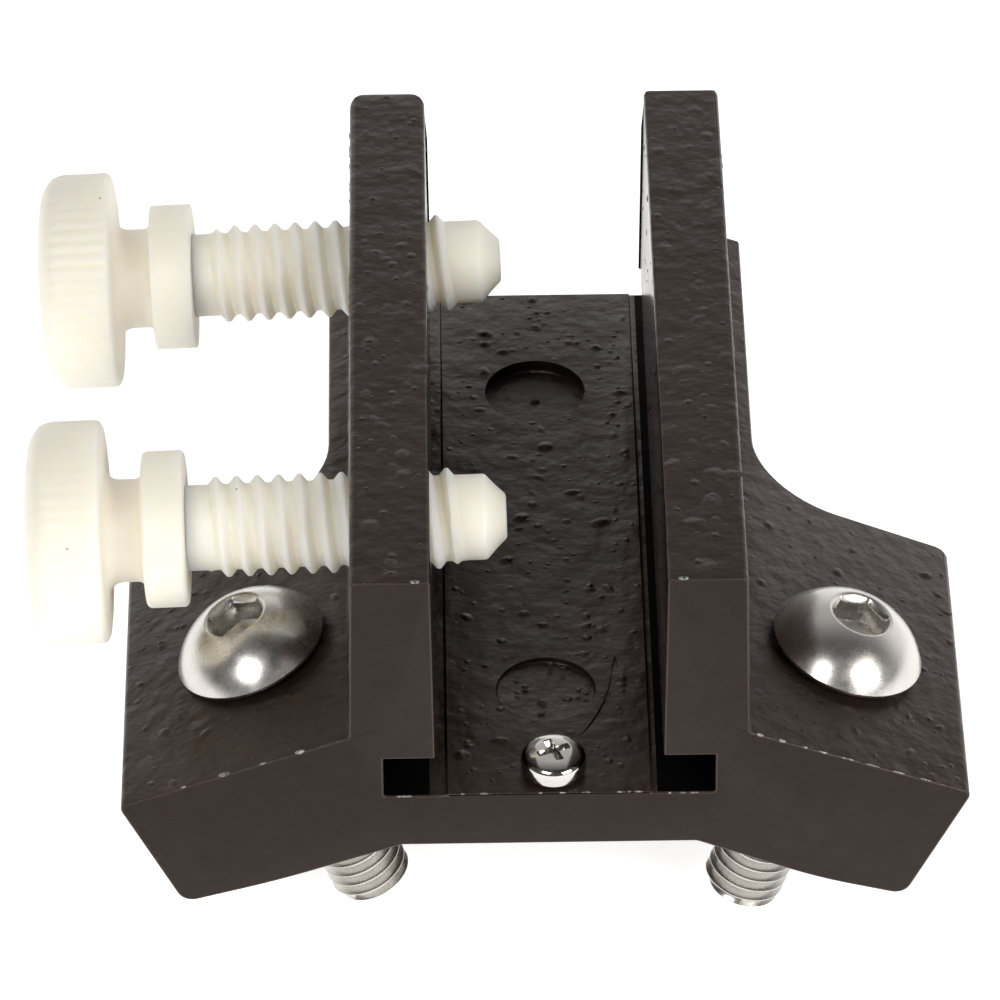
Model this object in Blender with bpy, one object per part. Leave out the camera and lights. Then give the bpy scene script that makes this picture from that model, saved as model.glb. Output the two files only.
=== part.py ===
"""Finder shoe: a cast base with a slotted channel, two nylon thumbscrews and three steel screws.

Metres, +Z up. The channel runs along Y, the thumbscrews come in from -X, and the front face is
at -Y. The origin is the middle of the flat strip under the base, which sits on the tube.
"""
import math

import bmesh
import bpy
from mathutils import Vector

MM = 0.001

# base casting: heights from the flat strip underneath, depths from the front face
LENGTH = 50.2 * MM
FLOOR_TOP = 4.0 * MM
WALL_TOP = FLOOR_TOP + 16.35 * MM
CHANNEL_HALF = 6.85 * MM
WALL_OUTER = 12.0 * MM
CHANNEL_HALF_TOP = 7.0 * MM      # the walls' faces lean a little, so they are thinner at the top
WALL_OUTER_TOP = 11.75 * MM
SLOT_REACH = 9.96 * MM
SLOT_CEILING = FLOOR_TOP + 2.77 * MM
SLOT_FLOOR = FLOOR_TOP - 0.12 * MM
RELIEF_HALF = 6.15 * MM
SEAT_HALF = 8.9 * MM
WING_SLOPE = math.radians(20.2)
WING_ROOT = FLOOR_TOP + 4.5 * MM
WING_SIDE_LEAN = math.radians(26.0)
WING_BACK = 24.28 * MM           # the back edge of a wing runs forward from here to the tip
WING_BACK_TIP = 23.42 * MM
WING_FILLET = 5.5 * MM
WING_CORNER = 0.9 * MM
WING_REACH = 26.0 * MM
LEDGE_HALF = 13.3 * MM
# each wing: its tip, then its underside's slope, the x where it bends, and the slope beyond
LEFT_WING = (26.0 * MM, 0.36, 16.5 * MM, 0.285)
RIGHT_WING = (25.5 * MM, 0.42, 16.3 * MM, 0.27)
LEFT_BEND_ROUND = 60.0 * MM
RIGHT_BEND_ROUND = 30.0 * MM
LEFT_END_ROUND = 1.5 * MM
RIGHT_END_ROUND = 0.8 * MM
WALL_TOP_ROUND = 0.55 * MM
# each pit: x, depth from the front face, radius, how deep its middle is, dip to its far right
PITS = (
    (-0.16 * MM, 39.8 * MM, 3.2 * MM, 0.9 * MM, 0.0),
    (-0.04 * MM, 9.75 * MM, 3.05 * MM, 0.22 * MM, math.radians(3.6)),
)

# nylon thumbscrews: 1/4 inch thread, 20 turns to the inch; lengths run along the screw from the
# middle of the wall, towards the tip
THUMB_HEIGHT = FLOOR_TOP + 11.4 * MM
THUMB_SCREWS = {"front": (12.2 * MM, 1.85), "rear": (38.1 * MM, 2.7)}   # place, lean in degrees
THUMB_THREAD = (3.05 * MM, 2.6 * MM, 1.27 * MM)                         # crest, root, pitch
THUMB_TIP = 7.1 * MM
THUMB_TIP_RADIUS = 1.3 * MM
THUMB_TIP_PLAIN = 0.9 * MM       # between the thread and the cone
COLLAR_END = -12.25 * MM
COLLAR_START = -14.8 * MM
COLLAR_RADIUS = 4.7 * MM
NECK_RADIUS = 3.12 * MM
KNOB_END = -17.1 * MM
KNOB_START = -21.9 * MM
KNOB_RADIUS = 6.78 * MM
THUMB_BORE = 3.4 * MM

# steel wing screws: M5 x 20, button heads
# side, then where it stands: down the slope from the wall, and depth from the front face
WING_SCREW_PLACES = {"left": (-1, 6.12 * MM, 10.87 * MM), "right": (1, 6.7 * MM, 10.1 * MM)}
# how much straighter than the wing's normal it stands, in degrees, and how far it is lifted
WING_SCREW_POSES = {"left": (-0.8, 0.4 * MM), "right": (2.0, 0.5 * MM)}
M5_THREAD = (2.48 * MM, 2.02 * MM, 0.8 * MM)
M5_LENGTH = 20.1 * MM
M5_HEAD_RADIUS = 4.75 * MM
M5_HEAD_HEIGHT = 2.75 * MM
M5_HEAD_FLAT = 2.05 * MM
M5_HEX_HALF = 1.5 * MM
M5_HEX_DEPTH = 1.9 * MM
M5_CHAMFER = 0.4 * MM
WING_HOLE = 2.95 * MM

# steel stop screw: M2, pan head, cross recess
STOP_X = 0.28 * MM
STOP_DEPTH = 2.05 * MM
M2_THREAD = (0.98 * MM, 0.76 * MM, 0.4 * MM)
M2_LENGTH = 3.6 * MM
M2_CHAMFER = 0.15 * MM
M2_HEAD_RADIUS = 2.0 * MM
M2_HEAD_HEIGHT = 1.4 * MM
M2_HEAD_FLAT = 0.9 * MM
CROSS_ARM = 1.0 * MM
CROSS_WIDTH = 0.42 * MM
CROSS_DEPTH = 0.7 * MM
STOP_HOLE = 1.3 * MM

GAP = 0.3 * MM
FRONT = -LENGTH / 2
BACK = LENGTH / 2
WALL_MIDDLE = -(CHANNEL_HALF + WALL_OUTER) / 2
WING_THICK = 8.8 * MM            # at the screw holes
LOWEST = -5 * MM                 # a little below the wings' lower corners


def clear_scene():
    for item in list(bpy.data.objects):
        bpy.data.objects.remove(item, do_unlink=True)


def make_material(name, colour, roughness, metallic):
    material = bpy.data.materials.new(name)
    material.use_nodes = True
    shader = material.node_tree.nodes["Principled BSDF"]
    shader.inputs["Base Color"].default_value = (*colour, 1.0)
    shader.inputs["Roughness"].default_value = roughness
    shader.inputs["Metallic"].default_value = metallic
    return material


def add_object(name, bm, material=None):
    bmesh.ops.recalc_face_normals(bm, faces=bm.faces)
    mesh = bpy.data.meshes.new(name)
    bm.to_mesh(mesh)
    bm.free()
    item = bpy.data.objects.new(name, mesh)
    bpy.context.scene.collection.objects.link(item)
    if material:
        mesh.materials.append(material)
        mesh.shade_smooth()
        mesh.set_sharp_from_angle(angle=math.radians(35.0))
    return item


def add_tool(name, bm, parent=None):
    """A helper solid for a Boolean, which isn't part of the object."""
    tool = add_object(name, bm)
    tool.hide_render = True
    tool.display_type = "WIRE"
    tool.parent = parent
    return tool


def combine(item, tool, operation):
    change = item.modifiers.new(f"{operation.lower()} {tool.name}", "BOOLEAN")
    change.operation = operation
    change.solver = "EXACT"
    change.object = tool


def round_corners(corners, steps=4):
    """Turn (x, y, radius) corners into an outline, with an arc wherever the radius isn't 0."""
    outline = []
    for i, (x, y, radius) in enumerate(corners):
        here = Vector((x, y))
        if radius == 0:
            outline.append(here)
            continue
        to_last = (Vector(corners[i - 1][:2]) - here).normalized()
        to_next = (Vector(corners[(i + 1) % len(corners)][:2]) - here).normalized()
        half = to_last.angle(to_next) / 2
        middle = here + (to_last + to_next).normalized() * (radius / math.sin(half))
        start = here + to_last * (radius / math.tan(half)) - middle
        end = here + to_next * (radius / math.tan(half)) - middle
        start.normalize()
        end.normalize()
        for k in range(steps + 1):
            outline.append(middle + start.slerp(end, k / steps) * radius)
    return outline


def prism(outline, place, depth):
    """Extrude an outline by the vector depth; place turns an outline point into 3-D."""
    bm = bmesh.new()
    face = bm.faces.new([bm.verts.new(place(p)) for p in outline])
    moved = bmesh.ops.extrude_face_region(bm, geom=[face])
    verts = [v for v in moved["geom"] if isinstance(v, bmesh.types.BMVert)]
    bmesh.ops.translate(bm, vec=depth, verts=verts)
    return bm


def ring_of_points(bm, radius, height, sides):
    angles = [2 * math.pi * i / sides for i in range(sides)]
    return [bm.verts.new((radius * math.cos(a), radius * math.sin(a), height)) for a in angles]


def join_rings(bm, rings):
    for low, high in zip(rings, rings[1:]):
        for i in range(len(low)):
            j = (i + 1) % len(low)
            bm.faces.new((low[i], low[j], high[j], high[i]))


def turned(profile, sides):
    """Revolve (radius, height) points about Z, and close both ends with a flat face."""
    bm = bmesh.new()
    rings = [ring_of_points(bm, radius, height, sides) for radius, height in profile]
    join_rings(bm, rings)
    bm.faces.new(rings[0])
    bm.faces.new(rings[-1])
    return bm


def threaded(below, thread, above, sides):
    """Like turned, with a right-hand V thread between the profile below and the one above.

    Rows alternate root and crest and climb one pitch per turn, so the seam column is two rows
    longer than the others. The crests fade in and out over a turn, which leaves the root radius
    at both ends of the thread.
    """
    crest, root, pitch = thread
    room = above[0][1] - below[-1][1]
    turns = math.floor(room / pitch - 1.2)
    start = below[-1][1] + (room - (turns + 1) * pitch) / 2
    bm = bmesh.new()
    columns = []
    for column in range(sides):
        angle = 2 * math.pi * column / sides
        points = []
        for row in range(2 * turns + (3 if column == 0 else 1)):
            climb = row / 2 + column / sides
            fade = max(0, min(1, climb - 0.5, turns + 0.5 - climb))
            radius = root + (crest - root) * (row % 2) * fade
            height = start + pitch * climb
            points.append(bm.verts.new((radius * math.cos(angle), radius * math.sin(angle), height)))
        columns.append(points)
    seam = columns[0]
    columns.append(seam[2:])
    low_rings = [ring_of_points(bm, radius, height, sides) for radius, height in below]
    high_rings = [ring_of_points(bm, radius, height, sides) for radius, height in above]
    low = low_rings[-1] + low_rings[-1][:1]
    high = high_rings[0] + high_rings[0][:1]
    for i in range(sides):
        near, far = columns[i], columns[i + 1]
        for row in range(2 * turns):
            bm.faces.new((near[row], far[row], far[row + 1], near[row + 1]))
        step_up = seam[:2] if i == sides - 1 else []
        step_down = [seam[-1], seam[-2]] if i == 0 else []
        bm.faces.new([low[i], low[i + 1]] + step_up + [far[0], near[0]])
        bm.faces.new([near[2 * turns], far[2 * turns], high[i + 1], high[i]] + step_down)
    join_rings(bm, low_rings)
    join_rings(bm, high_rings)
    bm.faces.new(low_rings[0])
    bm.faces.new(high_rings[-1])
    return bm


def round_bar(name, centre, direction, radius, length, sides):
    """A cylinder tool around centre, along the unit vector direction."""
    tool = add_tool(name, turned(((radius, -length / 2), (radius, length / 2)), sides))
    tool.location = centre
    tool.rotation_mode = "QUATERNION"
    tool.rotation_quaternion = Vector(direction).to_track_quat("Z", "Y")
    return tool


def wing_corners(wing, bend_round):
    """The end view of a wing as (x, z, radius) corners, from the flat strip out to the wall."""
    tip, inner_slope, bend, outer_slope = wing
    tip_height = WING_ROOT - (tip - WALL_OUTER) * math.tan(WING_SLOPE)
    lean = math.tan(WING_SIDE_LEAN)
    bend_drop = inner_slope * (bend - SEAT_HALF)
    start = bend_drop - outer_slope * bend      # the outer stretch is z = -(start + slope * x)
    keel = (tip - lean * (tip_height + start)) / (1 + lean * outer_slope)
    return [
        (SEAT_HALF, 0.0, 0.8 * MM),
        (bend, -bend_drop, bend_round),
        (keel, -(start + outer_slope * keel), 1.0 * MM),
        (tip, tip_height, 0.5 * MM),
        (WALL_OUTER, WING_ROOT, 0),
    ]


def wall_corners():
    """The end view of a wall and its T-slot as (x, z, radius) corners."""
    return [
        (WALL_OUTER_TOP, WALL_TOP, 0.35 * MM),
        (CHANNEL_HALF_TOP, WALL_TOP, 0.22 * MM),
        (CHANNEL_HALF, SLOT_CEILING, 0),
        (SLOT_REACH, SLOT_CEILING, 0),
        (SLOT_REACH, SLOT_FLOOR, 0),
        (RELIEF_HALF, SLOT_FLOOR, 0),
        (RELIEF_HALF, FLOOR_TOP, 0),
    ]


def base_outline():
    """The end view of the casting as (x, z) points; the two wings differ a little."""
    right = wing_corners(RIGHT_WING, RIGHT_BEND_ROUND) + wall_corners()
    left = wing_corners(LEFT_WING, LEFT_BEND_ROUND) + wall_corners()
    return round_corners(right + [(-x, z, radius) for x, z, radius in reversed(left)])


def wing_trim(side):
    """What is cut off behind a wing: a prism with the fillet to the ledge and the round corner."""
    beyond = WING_REACH + 5 * MM
    behind = BACK + 5 * MM
    tip = LEFT_WING[0] if side < 0 else RIGHT_WING[0]
    flank = side * (tip - 0.15 * MM)
    edge = FRONT + WING_BACK_TIP
    corners = [
        (side * beyond, edge - 2 * WING_CORNER, 0),
        (side * beyond, behind, 0),
        (side * LEDGE_HALF, behind, 0),
        (side * LEDGE_HALF, FRONT + WING_BACK, WING_FILLET),
        (flank, edge, WING_CORNER),
        (flank, edge - 2 * WING_CORNER, 0),
    ]
    outline = round_corners(corners, steps=6)
    height = Vector((0, 0, WALL_TOP - LOWEST))
    return add_tool("wing_trim", prism(outline, lambda p: (p.x, p.y, LOWEST), height))


def corner_trim(low, high, outward, radius):
    """A sliver that rounds an upright edge at the back end of a wall.

    The wall's face runs from the (x, z) point low up to high, and the sliver leans with it.
    """
    over = 1 * MM
    x, bottom = low
    corners = [
        (x + outward * over, BACK + over, 0),
        (x - outward * 1.5 * radius, BACK + over, 0),
        (x - outward * 1.5 * radius, BACK, 0),
        (x, BACK, radius),
        (x, BACK - 1.5 * radius, 0),
        (x + outward * over, BACK - 1.5 * radius, 0),
    ]
    up = Vector((high[0] - x, 0, high[1] - bottom)) * 1.1
    return add_tool("corner_trim", prism(round_corners(corners), lambda p: (p.x, p.y, bottom), up))


def corner_trims(side):
    """The slivers for the outer and inner faces of one wall."""
    radius = LEFT_END_ROUND if side < 0 else RIGHT_END_ROUND
    outer_low = (side * WALL_OUTER, WING_ROOT)
    outer_high = (side * WALL_OUTER_TOP, WALL_TOP)
    inner_low = (side * CHANNEL_HALF, SLOT_CEILING - 1 * MM)
    inner_high = (side * CHANNEL_HALF_TOP, WALL_TOP)
    outer = corner_trim(outer_low, outer_high, side, radius)
    inner = corner_trim(inner_low, inner_high, -side, radius)
    return [outer, inner]


def top_trim():
    """A sliver across both walls that rounds their upper back edge."""
    over = 1 * MM
    corners = [
        (BACK + over, WALL_TOP + over, 0),
        (BACK - 2 * WALL_TOP_ROUND, WALL_TOP + over, 0),
        (BACK - 2 * WALL_TOP_ROUND, WALL_TOP, 0),
        (BACK, WALL_TOP, WALL_TOP_ROUND),
        (BACK, WALL_TOP - 2 * WALL_TOP_ROUND, 0),
        (BACK + over, WALL_TOP - 2 * WALL_TOP_ROUND, 0),
    ]
    start = -WALL_OUTER - over
    width = Vector((-2 * start, 0, 0))
    return add_tool("top_trim", prism(round_corners(corners), lambda p: (start, p.x, p.y), width))


def pit_cutter(x, depth, radius, cut, dip):
    """A disc-shaped cutter with its flat bottom cut deep below the floor, dipping far right."""
    axis = Vector((math.sin(dip) * 0.5, math.sin(dip) * 0.87, math.cos(dip)))
    centre = Vector((x, FRONT + depth, FLOOR_TOP)) + axis * (2 * MM - cut)
    return round_bar("pit", centre, axis, radius, 4 * MM, 32)


def wing_normal(side):
    return Vector((side * math.sin(WING_SLOPE), 0, math.cos(WING_SLOPE)))


def wing_middle(side, along, depth):
    """The point half way through a wing, on the axis of its screw hole."""
    down_slope = Vector((side * math.cos(WING_SLOPE), 0, -math.sin(WING_SLOPE)))
    top = Vector((side * WALL_OUTER, FRONT + depth, WING_ROOT))
    return top + down_slope * along - wing_normal(side) * (WING_THICK / 2)


def make_base(material):
    body = prism(base_outline(), lambda p: (p.x, FRONT, p.y), Vector((0, LENGTH, 0)))
    base = add_object("base_casting", body, material)
    tools = [wing_trim(-1), wing_trim(1), top_trim()]
    tools += corner_trims(-1) + corner_trims(1)
    for side, along, depth in WING_SCREW_PLACES.values():
        centre = wing_middle(side, along, depth)
        tools.append(round_bar("wing_hole", centre, wing_normal(side), WING_HOLE, 14 * MM, 28))
    for place, _lean in THUMB_SCREWS.values():
        centre = (WALL_MIDDLE, FRONT + place, THUMB_HEIGHT)
        tools.append(round_bar("wall_hole", centre, (1, 0, 0), THUMB_BORE, 8 * MM, 32))
    stop = (STOP_X, FRONT + STOP_DEPTH, FLOOR_TOP / 2)
    tools.append(round_bar("stop_hole", stop, (0, 0, 1), STOP_HOLE, 2 * FLOOR_TOP, 20))
    tools += [pit_cutter(*pit) for pit in PITS]
    for tool in tools:
        combine(base, tool, "DIFFERENCE")


def make_thumbscrew(name, depth, lean, material):
    root = THUMB_THREAD[1]
    knob = [
        (4.0 * MM, KNOB_START),
        (5.4 * MM, KNOB_START + 0.2 * MM),
        (6.3 * MM, KNOB_START + 0.65 * MM),
        (KNOB_RADIUS, KNOB_START + 1.5 * MM),
        (KNOB_RADIUS, KNOB_END - 0.4 * MM),
        (KNOB_RADIUS - 0.4 * MM, KNOB_END),
    ]
    hollow = (COLLAR_START - KNOB_END) / 2
    neck = []
    for k in range(6):
        turn = math.pi * k / 5
        bulge = 1.1 * MM * (1 - math.sin(turn))
        neck.append((NECK_RADIUS + bulge, KNOB_END + hollow * (1 - math.cos(turn))))
    collar = [
        (COLLAR_RADIUS - 0.2 * MM, COLLAR_START),
        (COLLAR_RADIUS, COLLAR_START + 0.2 * MM),
        (COLLAR_RADIUS, COLLAR_END - 0.3 * MM),
        (COLLAR_RADIUS - 0.3 * MM, COLLAR_END),
        (root, COLLAR_END),
    ]
    cone = THUMB_TIP - (root - THUMB_TIP_RADIUS)
    tip = [(root, cone - THUMB_TIP_PLAIN), (root, cone), (THUMB_TIP_RADIUS, THUMB_TIP)]
    screw = add_object(name, threaded(knob + neck + collar, THUMB_THREAD, tip, 24), material)
    screw.location = (WALL_MIDDLE, FRONT + depth, THUMB_HEIGHT)
    screw.rotation_euler = (0, math.radians(90 - lean), 0)


def dome(radius, height, flat, rim, steps):
    """A round head from its rim to its flat top, as (radius, height) points on a sphere."""
    middle = (flat**2 + height**2 - radius**2 - rim**2) / (2 * (height - rim))
    sphere = math.hypot(radius, rim - middle)
    points = []
    for k in range(steps + 1):
        level = rim + (height - rim) * math.sin(math.pi / 2 * k / steps)
        points.append((math.sqrt(sphere**2 - (level - middle) ** 2), level))
    return points


def make_wing_screw(name, place, pose, material):
    side = place[0]
    lean, lift = pose
    root = M5_THREAD[1]
    seat = WING_THICK / 2 + lift
    head = [(root, 0.0), (M5_HEAD_RADIUS - 0.15 * MM, 0.0)]
    head += dome(M5_HEAD_RADIUS, M5_HEAD_HEIGHT, M5_HEAD_FLAT, 0.3 * MM, 5)
    head = [(radius, seat + height) for radius, height in head]
    tip = [(root - M5_CHAMFER, seat - M5_LENGTH), (root, seat - M5_LENGTH + M5_CHAMFER)]
    screw = add_object(name, threaded(tip, M5_THREAD, head, 24), material)
    across = M5_HEX_HALF / math.cos(math.pi / 6)
    socket = turned([(across, -M5_HEX_DEPTH), (across, 1 * MM)], 6)
    tool = add_tool(f"{name}_socket", socket, screw)
    tool.location.z = seat + M5_HEAD_HEIGHT
    combine(screw, tool, "DIFFERENCE")
    screw.location = wing_middle(*place)
    screw.rotation_euler = (0, side * (WING_SLOPE - math.radians(lean)), 0)


def make_stop_screw(material):
    root = M2_THREAD[1]
    head = [(root, 0.0), (M2_HEAD_RADIUS - 0.05 * MM, 0.0)]
    head += dome(M2_HEAD_RADIUS, M2_HEAD_HEIGHT, M2_HEAD_FLAT, 0.55 * MM, 4)
    tip = [(root - M2_CHAMFER, -M2_LENGTH), (root, -M2_LENGTH + M2_CHAMFER)]
    screw = add_object("stop_screw", threaded(tip, M2_THREAD, head, 20), material)
    half = CROSS_WIDTH / 2
    arm = [(CROSS_ARM, -half), (CROSS_ARM, half), (half, half)]
    cross = []
    for _arm in range(4):
        cross += [Vector((x, y)) for x, y in arm]
        arm = [(-y, x) for x, y in arm]
    bottom = M2_HEAD_HEIGHT - CROSS_DEPTH
    recess = prism(cross, lambda p: (p.x, p.y, bottom), Vector((0, 0, 1 * MM)))
    combine(screw, add_tool("cross_recess", recess, screw), "DIFFERENCE")
    screw.location = (STOP_X, FRONT + STOP_DEPTH, FLOOR_TOP + GAP)


def main():
    clear_scene()
    paint = make_material("black_paint", (0.035, 0.03, 0.028), 0.35, 0.0)
    nylon = make_material("ivory_nylon", (0.86, 0.83, 0.74), 0.45, 0.0)
    steel = make_material("polished_steel", (0.75, 0.74, 0.71), 0.15, 1.0)
    make_base(paint)
    for name, (depth, lean) in THUMB_SCREWS.items():
        make_thumbscrew(f"{name}_thumbscrew", depth, lean, nylon)
    for name, place in WING_SCREW_PLACES.items():
        make_wing_screw(f"{name}_wing_screw", place, WING_SCREW_POSES[name], steel)
    make_stop_screw(steel)


main()
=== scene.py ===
"""Looks for the finder shoe: painted casting, ivory nylon thumbscrews, polished steel screws.

Metres, in the CAD's frame: the channel runs along Y, the front face is at -Y, and the origin is
the middle of the flat strip under the base.
"""
import math
import random

import bmesh
import bpy
from mathutils import Matrix, Vector


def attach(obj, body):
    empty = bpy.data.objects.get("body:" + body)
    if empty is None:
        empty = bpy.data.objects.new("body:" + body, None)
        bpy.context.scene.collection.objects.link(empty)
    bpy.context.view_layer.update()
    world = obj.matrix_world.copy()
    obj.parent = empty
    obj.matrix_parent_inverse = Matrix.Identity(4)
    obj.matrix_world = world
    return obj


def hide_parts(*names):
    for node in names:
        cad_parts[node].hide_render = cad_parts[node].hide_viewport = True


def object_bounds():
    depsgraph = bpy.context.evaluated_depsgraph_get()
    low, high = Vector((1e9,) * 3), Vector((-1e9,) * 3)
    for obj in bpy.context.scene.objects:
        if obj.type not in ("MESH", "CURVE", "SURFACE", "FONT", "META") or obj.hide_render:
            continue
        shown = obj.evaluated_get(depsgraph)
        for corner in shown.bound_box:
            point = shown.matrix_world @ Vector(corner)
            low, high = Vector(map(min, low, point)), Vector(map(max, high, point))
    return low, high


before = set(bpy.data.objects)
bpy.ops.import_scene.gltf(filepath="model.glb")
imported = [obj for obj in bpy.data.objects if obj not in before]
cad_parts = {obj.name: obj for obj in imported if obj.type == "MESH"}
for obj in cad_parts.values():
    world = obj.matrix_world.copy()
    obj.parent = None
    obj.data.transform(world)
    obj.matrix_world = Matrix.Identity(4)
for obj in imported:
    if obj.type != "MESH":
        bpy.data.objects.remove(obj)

MM = 0.001
CAD_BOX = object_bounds()
SHARP = math.radians(35)    # edges that turn more than this are drawn sharp

# the base casting, in millimetres: heights from the flat strip underneath, depths from the front
LENGTH = 50.2
FRONT = -LENGTH / 2
BACK = LENGTH / 2
FLOOR_TOP = 4.0
WALL_TOP = 20.35
CHANNEL_HALF = 6.85
CHANNEL_HALF_TOP = 7.0      # the walls lean a little, so they are thinner at the top
WALL_OUTER = 12.0
WALL_OUTER_TOP = 11.75
SLOT_REACH = 9.96
SLOT_CEILING = 6.77
SLOT_FLOOR = 3.88
RELIEF_HALF = 6.15
LEFT_SHADE_EDGE = 7.2       # the floor's paint reaches this far out; beyond it, under the wall, the floor takes the near-black T-slot material as painted shade
RIGHT_SHADE_EDGE = 6.5
SEAT_HALF = 8.9
SLOPE = math.radians(20.2)
WING_ROOT = 8.5
SIDE_LEAN = math.radians(26.0)
WING_BACK = 24.28           # a wing's back edge runs forward from here to the tip
WING_BACK_TIP = 23.42
WING_FILLET = 5.5
LEDGE_HALF = 13.3
WING_THICK = 8.8            # at the screw holes
EDGE_ROUND = 0.13
# tip, slope of the underside, where it bends, slope beyond, radius of the bend
LEFT_WING = (26.0, 0.36, 16.5, 0.285, 60.0)
RIGHT_WING = (25.5, 0.42, 16.3, 0.27, 30.0)
LEFT_END_ROUND = 1.5
RIGHT_END_ROUND = 0.8
WALL_MIDDLE = -(CHANNEL_HALF + WALL_OUTER) / 2
# pits in the channel floor: x, depth, radius, how deep, dip to the far right
PITS = ((-0.16, 39.8, 3.2, 0.9, 0.0), (-0.04, 9.75, 3.05, 0.22, 3.6))

# nylon thumbscrews; lengths run along the screw from the middle of the wall, towards the tip
THUMB_HEIGHT = 15.4
THUMB_THREAD = (3.04, 2.6, 1.27, 0.1)    # crest, root, pitch, share of a pitch that is flat
THUMB_THREAD_END = 4.9
THUMB_TIP = (7.1, 1.3, 1.15)             # height, radius, slope of the cone
THUMB_BORE = 3.4
KNOB_RADIUS = 6.77
KNOB_START = -21.9
KNOB_END = -17.1
KNOB_RIBS = 52
COLLAR_START = -14.8
COLLAR_END = -12.25
# place, lean, turn, rib depth, collar radius, how round the collar's edges are
THUMBS = {"front": (12.2, 1.85, 193.0, 0.03, 4.75, 0.32), "rear": (38.1, 2.7, 305.0, 0.075, 4.55, 0.12)}

# steel wing screws: side, how far down the slope, depth from the front face, lean, lift, turn
BOLTS = {"left": (-1, 6.12, 10.87, -0.8, 0.4, 10.0), "right": (1, 6.7, 10.1, 2.0, 0.5, 40.0)}
BOLT_LENGTH = 19.94
BOLT_THREAD = (2.48, 1.93, 0.8, 0.07)
WING_HOLE = 2.95

# steel stop screw
STOP_X = 0.28
STOP_DEPTH = 2.05
STOP_LENGTH = 3.6
STOP_THREAD = (0.98, 0.76, 0.4, 0.07)
STOP_HOLE = 1.3
STOP_LIFT = 0.3

# paint
PAINT_SHEEN = (1.0, 0.86, 0.82, 1.0)    # the black paint's reflections are a little warm
# material slots: the T-slot and inner-wall materials carry painted shade in their colour, and the edge beads'
# light grey is a painted glint
ROUGH, SAWN, EDGE, SLOT, GLINT_BEAD, GLOSSY = range(6)
GROOVE = ((4.27, -12.2), (1.95, -19.8), 0.6)    # start, end, how far it bows out
# the biggest pimples on the channel floor: x, y, radius
BIG_PIMPLES = (
    (-3.3, 20.9, 0.42), (-2.1, 18.9, 0.38), (0.4, 8.8, 0.48), (3.7, 1.0, 0.5),
    (-1.3, 1.6, 0.45), (2.0, 4.1, 0.4), (5.2, 14.4, 0.35), (-5.2, -21.6, 0.5), (-2.9, -20.2, 0.42),
)
# light grey beads on the front edges, painted glints where beads of paint catch the lights: how far out,
# length, half height
LEFT_GLINTS = ((19.5, 0.95, 0.17), (14.9, 0.85, 0.17), (22.0, 0.4, 0.06), (17.2, 0.5, 0.07))
RIGHT_GLINTS = ((12.6, 0.55, 0.13), (13.9, 0.6, 0.12), (15.3, 0.4, 0.08), (16.4, 0.6, 0.07),
               (17.9, 0.9, 0.06), (19.4, 1.0, 0.06), (21.0, 0.9, 0.06), (22.6, 0.8, 0.05))


# ---------------------------------------------------------------- mesh helpers, all in millimetres

def new_object(name, bm, materials):
    bmesh.ops.recalc_face_normals(bm, faces=bm.faces)
    bmesh.ops.scale(bm, vec=(MM, MM, MM), verts=bm.verts)
    mesh = bpy.data.meshes.new(name)
    bm.to_mesh(mesh)
    bm.free()
    for material in materials:
        mesh.materials.append(material)
    mesh.shade_smooth()
    mesh.set_sharp_from_angle(angle=SHARP)
    item = bpy.data.objects.new(name, mesh)
    bpy.context.scene.collection.objects.link(item)
    return item


def lathe(rings, sides):
    """Rings of (radius, height) about Z; a radius may be a function of the angle."""
    bm = bmesh.new()
    loops = []
    for radius, height in rings:
        loop = []
        for i in range(sides):
            angle = 2 * math.pi * i / sides
            r = radius(angle) if callable(radius) else radius
            loop.append(bm.verts.new((r * math.cos(angle), r * math.sin(angle), height)))
        loops.append(loop)
    for low, high in zip(loops, loops[1:]):
        for i in range(sides):
            j = (i + 1) % sides
            bm.faces.new((low[i], low[j], high[j], high[i]))
    bm.faces.new(loops[0])
    bm.faces.new(loops[-1])
    return bm


def arc(centre, radius, start, end, steps):
    """Points on a circle in the (radius, height) plane; angles in degrees."""
    points = []
    for k in range(steps + 1):
        angle = math.radians(start + (end - start) * k / steps)
        points.append((centre[0] + radius * math.cos(angle), centre[1] + radius * math.sin(angle)))
    return points


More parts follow.
